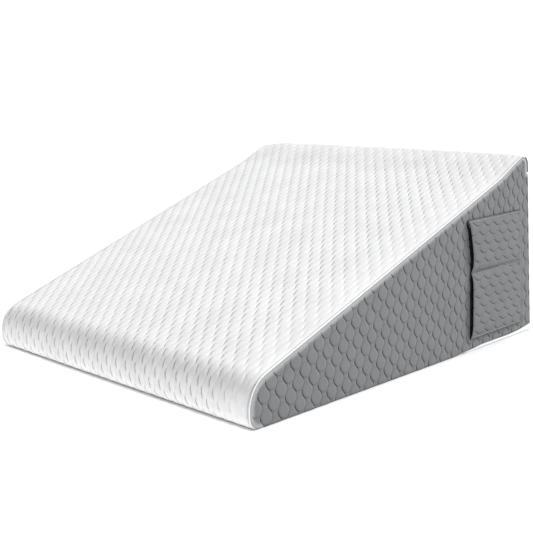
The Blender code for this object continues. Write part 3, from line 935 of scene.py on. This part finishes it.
def build_seam_roll(name, side, node, material):
    """Bright roll of cover cloth along the edge between top and side."""
    path = edge_path(ROLL_INSET, LEFT_CORNER_DROP if side < 0.0 else 0.0)
    path = [point for point in path if point[1] > ROLL_RADIUS + GAP]
    path[-1] = (path[-1][0], BACK_SEAM_HEIGHT + ROLL_RADIUS)
    line = even_line(path, ROLL_STEP)
    across = side * (WIDTH / 2 - ROLL_INSET)
    radii = [roll_radius(y, z, i * ROLL_STEP) for i, (y, z) in enumerate(line)]
    points, faces = tube([(across, y, z) for y, z in line], radii, ROLL_SIDES)
    cloth = []
    for i in range(len(line)):
        for j in range(ROLL_SIDES):
            cloth.append((i * ROLL_STEP, j * 2.0 * math.pi * ROLL_RADIUS / ROLL_SIDES))
    piece = mesh_piece(name, points, faces, cloth, material)
    turned = high_edge_centre()[0] + 0.35 * HIGH_EDGE_RADIUS
    keep_distance(piece, "behind", np.repeat(line[:, 0] - turned, ROLL_SIDES))
    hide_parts(node)
    return piece


def stitch_run(line, place):
    """Points, faces and cloth places of the stitches along a line."""
    points, faces = [], []
    shares = (-0.5, -0.3, 0.0, 0.3, 0.5)
    girth = (0.35, 0.85, 1.0, 0.85, 0.35)
    sunk = (0.6, 0.15, 0.0, 0.15, 0.6)
    corners = np.array(line, float)
    steps = np.hypot(*np.diff(corners, axis=0).T)
    length = np.concatenate(([0.0], np.cumsum(steps)))
    for number in range(int(length[-1] / STITCH_PITCH)):
        middle = (number + 0.5) * STITCH_PITCH
        strand = []
        for share, deep in zip(shares, sunk):
            at = middle + share * STITCH_LENGTH
            y = float(np.interp(at, length, corners[:, 0]))
            z = float(np.interp(at, length, corners[:, 1]))
            strand.append(place(y, z, -deep * STITCH_RADIUS))
        made, sides = tube(strand, [STITCH_RADIUS * g for g in girth], 6)
        faces += [[i + len(points) for i in face] for face in sides]
        points += made
    return points, faces


def build_stitches(name, lines, place, material):
    """All stitches of one group of seams as one mesh."""
    points, faces = [], []
    for line in lines:
        made, sides = stitch_run(line, place)
        faces += [[i + len(points) for i in face] for face in sides]
        points += made
    cloth = [(y, z) for _, y, z in points]
    piece = mesh_piece(name, points, faces, cloth, material, sharp=80.0)
    return piece


def pocket_seam_lines():
    """The four sewn lines of the pocket in the side plane."""
    inner = SEAM_IN_FROM_EDGE
    low, high = POCKET_BOTTOM + inner, POCKET_TOP - inner
    lines = []
    for level in (low, POCKET_MIDDLE, high):
        lines.append([(float(pocket_mouth(level)) + 2.0 * MM, level),
                      (float(pocket_rear(level)) - inner, level)])
    lines.append([(float(pocket_rear(low)) - inner, low),
                  (float(pocket_rear(high)) - inner, high)])
    return lines


def build_pocket_stitches(material):
    def place(y, z, height):
        through = POCKET_GROUND + 0.15 * MM + STITCH_RADIUS + height
        return float(pocket_surface(y, z, through)), y, z

    return build_stitches("pocket_stitches", pocket_seam_lines(), place, material)


def build_pocket_tack(material):
    """Small turned corner of cloth where the pocket's mouth meets its top edge."""
    top = POCKET_TOP - 1.0 * MM
    turns = ((0.5, 0.0, 0.2), (-1.2, -2.0, 0.9), (-1.6, -5.0, 1.6), (-0.6, -8.5, 2.0),
             (0.6, -11.0, 2.2))
    points = []
    for along, down, out in turns:
        z = top + down * MM
        y = float(pocket_mouth(z)) + along * MM
        points.append((WIDTH / 2 + GAP + TACK_RADIUS + out * MM, y, z))
    line = even_line(points, 0.9 * MM)
    count = len(line)
    radii = [TACK_RADIUS * (0.55 + 0.45 * math.sin(math.pi * (i + 0.5) / count))
             for i in range(count)]
    made, faces = tube([tuple(point) for point in line], radii, 8)
    piece = mesh_piece("pocket_tack", made, faces, [(y, z) for _, y, z in made], material)
    return piece


class Nodes:
    """Short way to add shader nodes to one material."""

    def __init__(self, name):
        self.material = bpy.data.materials.new(name)
        self.material.use_nodes = True
        self.tree = self.material.node_tree
        self.shader = self.tree.nodes["Principled BSDF"]

    def add(self, kind, **settings):
        node = self.tree.nodes.new(kind)
        for key, value in settings.items():
            setattr(node, key, value)
        return node

    def link(self, source, target):
        if hasattr(source, "is_output"):
            self.tree.links.new(source, target)
        else:
            target.default_value = source

    def math(self, operation, *values):
        node = self.add("ShaderNodeMath", operation=operation)
        for value, target in zip(values, node.inputs):
            self.link(value, target)
        return node.outputs[0]

    def smooth(self, value, low, high, start=0.0, end=1.0):
        """From start to end while value goes from low to high."""
        node = self.add("ShaderNodeMapRange", interpolation_type="SMOOTHSTEP")
        for given, target in zip((value, low, high, start, end), node.inputs):
            self.link(given, target)
        return node.outputs[0]

    def mix(self, share, first, second):
        node = self.add("ShaderNodeMix", data_type="RGBA")
        self.link(share, node.inputs[0])
        self.link(first, node.inputs[6])
        self.link(second, node.inputs[7])
        return node.outputs[2]

    def noise(self, place, scale, detail=2.0):
        node = self.add("ShaderNodeTexNoise")
        self.link(place, node.inputs["Vector"])
        node.inputs["Scale"].default_value = scale
        node.inputs["Detail"].default_value = detail
        return node.outputs["Fac"]

    def bump(self, height, depth, normal=None):
        node = self.add("ShaderNodeBump")
        self.link(height, node.inputs["Height"])
        node.inputs["Distance"].default_value = depth
        if normal is not None:
            self.link(normal, node.inputs["Normal"])
        return node.outputs[0]


def cloth_place(nodes):
    """Place on the flat cloth as a vector and its two parts."""
    place = nodes.add("ShaderNodeUVMap", uv_map="cloth").outputs[0]
    parts = nodes.add("ShaderNodeSeparateXYZ")
    nodes.link(place, parts.inputs[0])
    return place, parts.outputs[0], parts.outputs[1]


def groove_line(nodes, across, length, relief):
    """Distance in metres from the nearest wavy groove, and how strong its painted shade is
    there: strongest on the slanting parts whose flanks turn from the key light.
    """
    turn = nodes.math("MULTIPLY", length, 2.0 * math.pi / relief.period)
    third = nodes.math("COSINE", nodes.math("MULTIPLY", turn, 3.0))
    swing = nodes.math("MULTIPLY_ADD", third, -WAVE_ROUNDING, nodes.math("COSINE", turn))
    place = nodes.math("MULTIPLY_ADD", across, 1.0 / relief.spacing, -0.5)
    column = nodes.math("ROUND", place)
    off = nodes.math("SUBTRACT", place, column)
    odd = nodes.math("FLOORED_MODULO", column, 2.0)
    side = nodes.math("MULTIPLY_ADD", odd, -2.0, 1.0)
    shift = nodes.math("MULTIPLY", nodes.math("MULTIPLY", side, swing),
                       relief.swing / relief.spacing)
    distance = nodes.math("MULTIPLY", nodes.math("ABSOLUTE", nodes.math("SUBTRACT", off, shift)),
                          relief.spacing)
    slant = nodes.math("SINE", nodes.math("ADD", turn, STRONG_TURN))
    strength = nodes.smooth(nodes.math("MULTIPLY", side, slant), -0.8, 0.7)
    return distance, strength


def bead_rim_shade(nodes, across, length, relief):
    """Painted shade: thin line where a round cell ends above and below, stronger below, where
    the cell turns from the light above.
    """
    place = nodes.math("MULTIPLY", across, 1.0 / relief.spacing)
    column = nodes.math("ROUND", place)
    off = nodes.math("MULTIPLY", nodes.math("SUBTRACT", place, column), relief.spacing)
    odd = nodes.math("FLOORED_MODULO", column, 2.0)
    turn = nodes.math("MULTIPLY_ADD", odd, -0.5,
                      nodes.math("MULTIPLY", length, 1.0 / relief.period))
    along = nodes.math("MULTIPLY", nodes.math("SUBTRACT", turn, nodes.math("ROUND", turn)),
                       relief.period)
    wide = nodes.math("MULTIPLY", off, 1.0 / (relief.spacing / 2 + relief.swing))
    tall = nodes.math("MULTIPLY", along, 1.0 / relief.bead)
    reach = nodes.math("SQRT", nodes.math("ADD", nodes.math("MULTIPLY", wide, wide),
                                          nodes.math("MULTIPLY", tall, tall)))
    ring = nodes.math("MULTIPLY", nodes.math("ABSOLUTE", nodes.math("SUBTRACT", reach, 1.0)),
                      relief.bead)
    below = nodes.smooth(tall, 0.6, -0.6, 0.45, 1.0)
    ends = nodes.smooth(nodes.math("ABSOLUTE", tall), 0.55, 0.8)
    return nodes.math("MULTIPLY", nodes.smooth(ring, 1.5 * MM, 0.2 * MM),
                      nodes.math("MULTIPLY", below, ends))


def knit_height(nodes, across, length, course, wale):
    """Rows of small loops, as a height from 0 to 1."""
    rows = nodes.math("SINE", nodes.math("MULTIPLY", length, 2.0 * math.pi / course))
    lean = nodes.math("MULTIPLY", rows, 0.6)
    ribs = nodes.math("SINE", nodes.math("MULTIPLY_ADD", across, 2.0 * math.pi / wale, lean))
    both = nodes.math("MULTIPLY_ADD", rows, 0.25, nodes.math("MULTIPLY", ribs, 0.25))
    return nodes.math("ADD", both, 0.5)


# How a knit cloth looks: its colour, the painted shade that its grooves and the ends of its
# cells lose, the width of a groove, how far from a seam the grooves are at their strongest, the
# painted highlight that the grey cloth rolled over beside a seam gains, the painted crease shade
# that the line right at the seam loses and its width, and the painted shade that the cloth
# inside the pocket loses.
Look = namedtuple("Look", "colour groove rim width reach seam_light crease crease_width inside")
WHITE_LOOK = Look((0.86, 0.86, 0.865), 0.55, 0.0, 2.0 * MM, 90.0 * MM,
                  0.0, 0.28, 4.0 * MM, 0.0)
GREY_LOOK = Look((0.168, 0.171, 0.176), 0.9, 0.3, 1.45 * MM, 7.0 * MM,
                 1.1, 0.3, 1.0 * MM, 0.0)
POCKET_LOOK = Look((0.155, 0.158, 0.162), 0.75, 0.15, 1.45 * MM, 7.0 * MM,
                   0.0, 0.45, 1.8 * MM, 0.98)
# Share of the colour taken away by the painted shade inside the pocket
POCKET_SHADE = 0.98


def knit_material(name, relief, look):
    """Knit cloth with grooves, loops and small changes of colour, with painted shade in its
    grooves, creases and pocket and a painted highlight beside its seams.
    """
    nodes = Nodes(name)
    place, across, length = cloth_place(nodes)
    groove, strength = groove_line(nodes, across, length, relief)
    edge = nodes.add("ShaderNodeAttribute", attribute_name="edge").outputs["Fac"]
    patches = nodes.noise(place, 18.0, 3.0)
    broken = nodes.noise(place, 210.0, 2.0)
    loops = nodes.noise(place, 900.0, 2.0)
    inward = nodes.math("MULTIPLY", nodes.smooth(edge, 2.0 * MM, look.reach),
                        nodes.smooth(broken, 0.3, 0.6, 0.6, 1.0))
    strength = nodes.math("MULTIPLY_ADD", nodes.math("MULTIPLY", strength, strength), 0.86, 0.14)
    stroke = nodes.math("MULTIPLY", nodes.smooth(groove, look.width, 0.15 * MM), strength)
    line = nodes.math("MULTIPLY", stroke, inward)
    ends = nodes.math("MULTIPLY", bead_rim_shade(nodes, across, length, relief), inward)
    tone = nodes.smooth(patches, 0.3, 0.7, 0.965, 1.035)
    grain = nodes.smooth(loops, 0.3, 0.7, 0.91, 1.09)
    # Painted shade in the grooves and along the lower ends of the cells
    groove_shade = nodes.math("MULTIPLY", nodes.math("MULTIPLY_ADD", line, -look.groove, 1.0),
                        nodes.math("MULTIPLY_ADD", ends, -look.rim, 1.0))
    # Painted highlight where the grey cloth rolls over beside the seam, as if catching the light
    painted_highlight = nodes.smooth(edge, 3.0 * MM, 9.5 * MM, 1.0 + look.seam_light, 1.0)
    # Painted crease shade right at the sewn edges, in the gap by the seam roll and under the
    # pocket's hems
    crease = nodes.smooth(edge, 0.55 * look.crease_width, look.crease_width,
                          1.0 - look.crease, 1.0)
    level = nodes.math("MULTIPLY", nodes.math("MULTIPLY", tone, grain),
                       nodes.math("MULTIPLY", groove_shade, nodes.math("MULTIPLY", painted_highlight, crease)))
    # Painted shade inside the pocket: near black behind the mouth, on the side cloth and on the
    # pocket's inner face
    if look.inside:
        inside = nodes.add("ShaderNodeAttribute", attribute_name="pocket").outputs["Fac"]
        level = nodes.math("MULTIPLY", level,
                           nodes.smooth(inside, -0.2 * MM, 0.6 * MM, 1.0, 1.0 - look.inside))
    scale = nodes.add("ShaderNodeVectorMath", operation="SCALE")
    scale.inputs[0].default_value = look.colour
    nodes.link(level, scale.inputs["Scale"])
    nodes.link(scale.outputs[0], nodes.shader.inputs["Base Color"])
    knit = knit_height(nodes, across, length, 1.5 * MM, 1.1 * MM)
    fine = nodes.bump(knit, 0.12 * MM)
    rough = nodes.bump(loops, 0.15 * MM, fine)
    ditch = nodes.bump(nodes.math("SUBTRACT", 1.0, line), 0.35 * MM, rough)
    nodes.link(ditch, nodes.shader.inputs["Normal"])
    nodes.link(nodes.smooth(loops, 0.2, 0.8, 0.82, 0.96), nodes.shader.inputs["Roughness"])
    nodes.shader.inputs["Sheen Weight"].default_value = 0.12
    nodes.shader.inputs["Sheen Roughness"].default_value = 0.5
    nodes.shader.inputs["Specular IOR Level"].default_value = 0.2
    return nodes.material


def plain_material(name, colour, twist, depth, behind=1.0):
    """Bright seam or thread cloth with slanting ridges twist apart.

    behind is the share of the colour that is left where a roll of grey cloth
    goes on down the back.
    """
    nodes = Nodes(name)
    place, along, round_it = cloth_place(nodes)
    slant = nodes.math("ADD", along, round_it)
    ridge = nodes.math("SINE", nodes.math("MULTIPLY", slant, 2.0 * math.pi / twist))
    grain = nodes.noise(place, 700.0, 2.0)
    level = nodes.math("MULTIPLY_ADD", ridge, 0.03, nodes.smooth(grain, 0.3, 0.7, 0.94, 1.0))
    if behind < 1.0:
        turned = nodes.add("ShaderNodeAttribute", attribute_name="behind").outputs["Fac"]
        level = nodes.math("MULTIPLY", level, nodes.smooth(turned, 0.0, 3.0 * MM, 1.0, behind))
    scale = nodes.add("ShaderNodeVectorMath", operation="SCALE")
    scale.inputs[0].default_value = colour
    nodes.link(level, scale.inputs["Scale"])
    nodes.link(scale.outputs[0], nodes.shader.inputs["Base Color"])
    raised = nodes.bump(ridge, depth)
    nodes.link(nodes.bump(grain, 0.1 * MM, raised), nodes.shader.inputs["Normal"])
    nodes.link(nodes.smooth(grain, 0.2, 0.8, 0.75, 0.9), nodes.shader.inputs["Roughness"])
    nodes.shader.inputs["Sheen Weight"].default_value = 0.15
    return nodes.material


def floor_material():
    nodes = Nodes("floor_paper")
    place = nodes.add("ShaderNodeTexCoord").outputs["Object"]
    grain = nodes.noise(place, 40.0)
    level = nodes.smooth(grain, 0.3, 0.7, 0.925, 0.935)
    colour = nodes.add("ShaderNodeCombineColor")
    for target in colour.inputs:
        nodes.link(level, target)
    nodes.link(colour.outputs[0], nodes.shader.inputs["Base Color"])
    nodes.shader.inputs["Roughness"].default_value = 0.95
    nodes.shader.inputs["Specular IOR Level"].default_value = 0.1
    return nodes.material


def build_floor():
    bm = bmesh.new()
    bmesh.ops.create_circle(bm, cap_ends=True, segments=96, radius=60.0)
    mesh = bpy.data.meshes.new("floor")
    bm.to_mesh(mesh)
    bm.free()
    mesh.materials.append(floor_material())
    floor = bpy.data.objects.new("floor", mesh)
    studio.objects.link(floor)


def add_sun(name, way, strength, softness, receivers):
    """Soft light from one direction for one collection's objects."""
    lamp = bpy.data.lights.new(name, "SUN")
    lamp.energy = strength
    lamp.angle = math.radians(softness)
    piece = bpy.data.objects.new(name, lamp)
    piece.rotation_euler = Vector(way).to_track_quat("Z", "Y").to_euler()
    piece.light_linking.receiver_collection = receivers
    bpy.context.scene.collection.objects.link(piece)


def build_world():
    """Pale studio air, brightest at the horizon."""
    world = bpy.data.worlds.new("studio")
    bpy.context.scene.world = world
    world.use_nodes = True
    tree = world.node_tree
    ground = tree.nodes["Background"]
    way = tree.nodes.new("ShaderNodeTexCoord")
    parts = tree.nodes.new("ShaderNodeSeparateXYZ")
    tree.links.new(way.outputs["Generated"], parts.inputs[0])
    ramp = tree.nodes.new("ShaderNodeMapRange")
    ramp.interpolation_type = "SMOOTHSTEP"
    ramp.inputs["From Min"].default_value = 0.1
    ramp.inputs["From Max"].default_value = 0.4
    ramp.inputs["To Min"].default_value = HORIZON_LIGHT
    ramp.inputs["To Max"].default_value = ZENITH_LIGHT
    tree.links.new(parts.outputs[2], ramp.inputs["Value"])
    tree.links.new(ramp.outputs[0], ground.inputs["Strength"])
    ground.inputs["Color"].default_value = (1.0, 1.0, 1.0, 1.0)


def build_lights():
    add_sun("key_light", KEY_WAY, KEY_STRENGTH, KEY_SOFTNESS, pillow)
    add_sun("floor_light", FLOOR_WAY, FLOOR_STRENGTH, FLOOR_SOFTNESS, studio)


def build_camera():
    """Camera at the photograph's angle, with its lens shift."""
    place = Vector(CAMERA_PLACE) + SHIFT
    ahead = Vector((-math.sin(CAMERA_YAW) * math.cos(CAMERA_PITCH),
                    math.cos(CAMERA_YAW) * math.cos(CAMERA_PITCH),
                    -math.sin(CAMERA_PITCH)))
    level = Vector((math.cos(CAMERA_YAW), math.sin(CAMERA_YAW), 0.0))
    down = ahead.cross(level)
    right = level * math.cos(CAMERA_ROLL) + down * math.sin(CAMERA_ROLL)
    up = level * math.sin(CAMERA_ROLL) - down * math.cos(CAMERA_ROLL)
    lens = bpy.data.cameras.new("camera")
    lens.sensor_width = SENSOR_WIDTH
    lens.lens = SENSOR_WIDTH * LENS_IN_WIDTHS
    lens.shift_y = -SHIFT_DOWN
    lens.clip_start = 0.05
    lens.clip_end = 100.0
    camera = bpy.data.objects.new("camera", lens)
    camera.matrix_world = Matrix((
        (right.x, up.x, -ahead.x, place.x),
        (right.y, up.y, -ahead.y, place.y),
        (right.z, up.z, -ahead.z, place.z),
        (0.0, 0.0, 0.0, 1.0)))
    bpy.context.scene.collection.objects.link(camera)
    bpy.context.scene.camera = camera


def build_pillow():
    white = knit_material("white_knit_cloth", TOP_RELIEF, WHITE_LOOK)
    grey = knit_material("grey_knit_cloth", SIDE_RELIEF, GREY_LOOK)
    grey_right = knit_material("grey_knit_cloth_right", SIDE_RELIEF,
                               GREY_LOOK._replace(inside=POCKET_SHADE))
    grey_pocket = knit_material("grey_pocket_cloth", POCKET_RELIEF, POCKET_LOOK)
    bottom = plain_material("white_bottom_cloth", (0.86, 0.86, 0.87), 3.0 * MM, 0.2 * MM)
    seam = plain_material("white_seam_cloth", (0.9, 0.9, 0.9), 2.4 * MM, 0.12 * MM, 0.2)
    thread = plain_material("light_thread", (0.5, 0.5, 0.5), 0.8 * MM, 0.08 * MM)
    build_top_cover(white)
    build_side_cloth("side_cloth_right", 1.0, "side_panel_right", grey_right)
    build_side_cloth("side_cloth_left", -1.0, "side_panel_left", grey)
    build_back_cloth(grey)
    build_bottom_cloth(bottom)
    build_seam_roll("seam_roll_right", 1.0, "top_seam_right", seam)
    build_seam_roll("seam_roll_left", -1.0, "top_seam_left", seam)
    pocket, flat, area = build_pocket_cloth(grey_pocket)
    stitches = build_pocket_stitches(thread)
    tack = build_pocket_tack(grey_pocket)


build_pillow()
build_floor()
build_world()
build_lights()
build_camera()
bpy.context.scene.view_settings.view_transform = "Standard"
